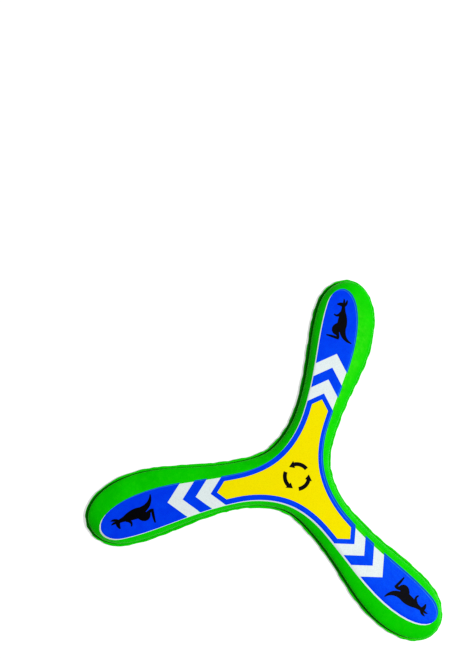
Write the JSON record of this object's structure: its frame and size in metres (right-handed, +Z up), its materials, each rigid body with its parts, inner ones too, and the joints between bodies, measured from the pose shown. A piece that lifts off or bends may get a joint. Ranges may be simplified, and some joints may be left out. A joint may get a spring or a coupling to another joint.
{
  "type": "boomerang",
  "caption": "Soft foam boomerang with rounded paddle blades, a bevelled rim, a trimmed lip and a printed top with chevrons and animal marks.",
  "frame": {"origin": "centre of the hub on the flat underside", "axes": "+Z up out of the printed top, +Y along blade 1 from the hub to its tip, +X completes a right-handed frame"},
  "size_m": [0.2522, 0.226, 0.0083],
  "materials": {
    "foam": "satin green closed-cell foam",
    "white_ink": "satin ink, slightly mottled",
    "blue_ink": "satin ink",
    "yellow_ink": "satin ink",
    "black_ink": "satin ink"
  },
  "bodies": {
    "root": {"foam_body": "foam", "white_base_coat": "white_ink", "middle_panel": "yellow_ink", "panel_border": "blue_ink", "chevron_1": "blue_ink", "chevron_2": "blue_ink", "chevron_3": "blue_ink", "tip_panel_1": "blue_ink", "tip_panel_2": "blue_ink", "tip_panel_3": "blue_ink", "animal_mark_1": "black_ink", "animal_mark_2": "black_ink", "animal_mark_3": "black_ink", "spin_mark": "black_ink"}
  },
  "joints": []
}
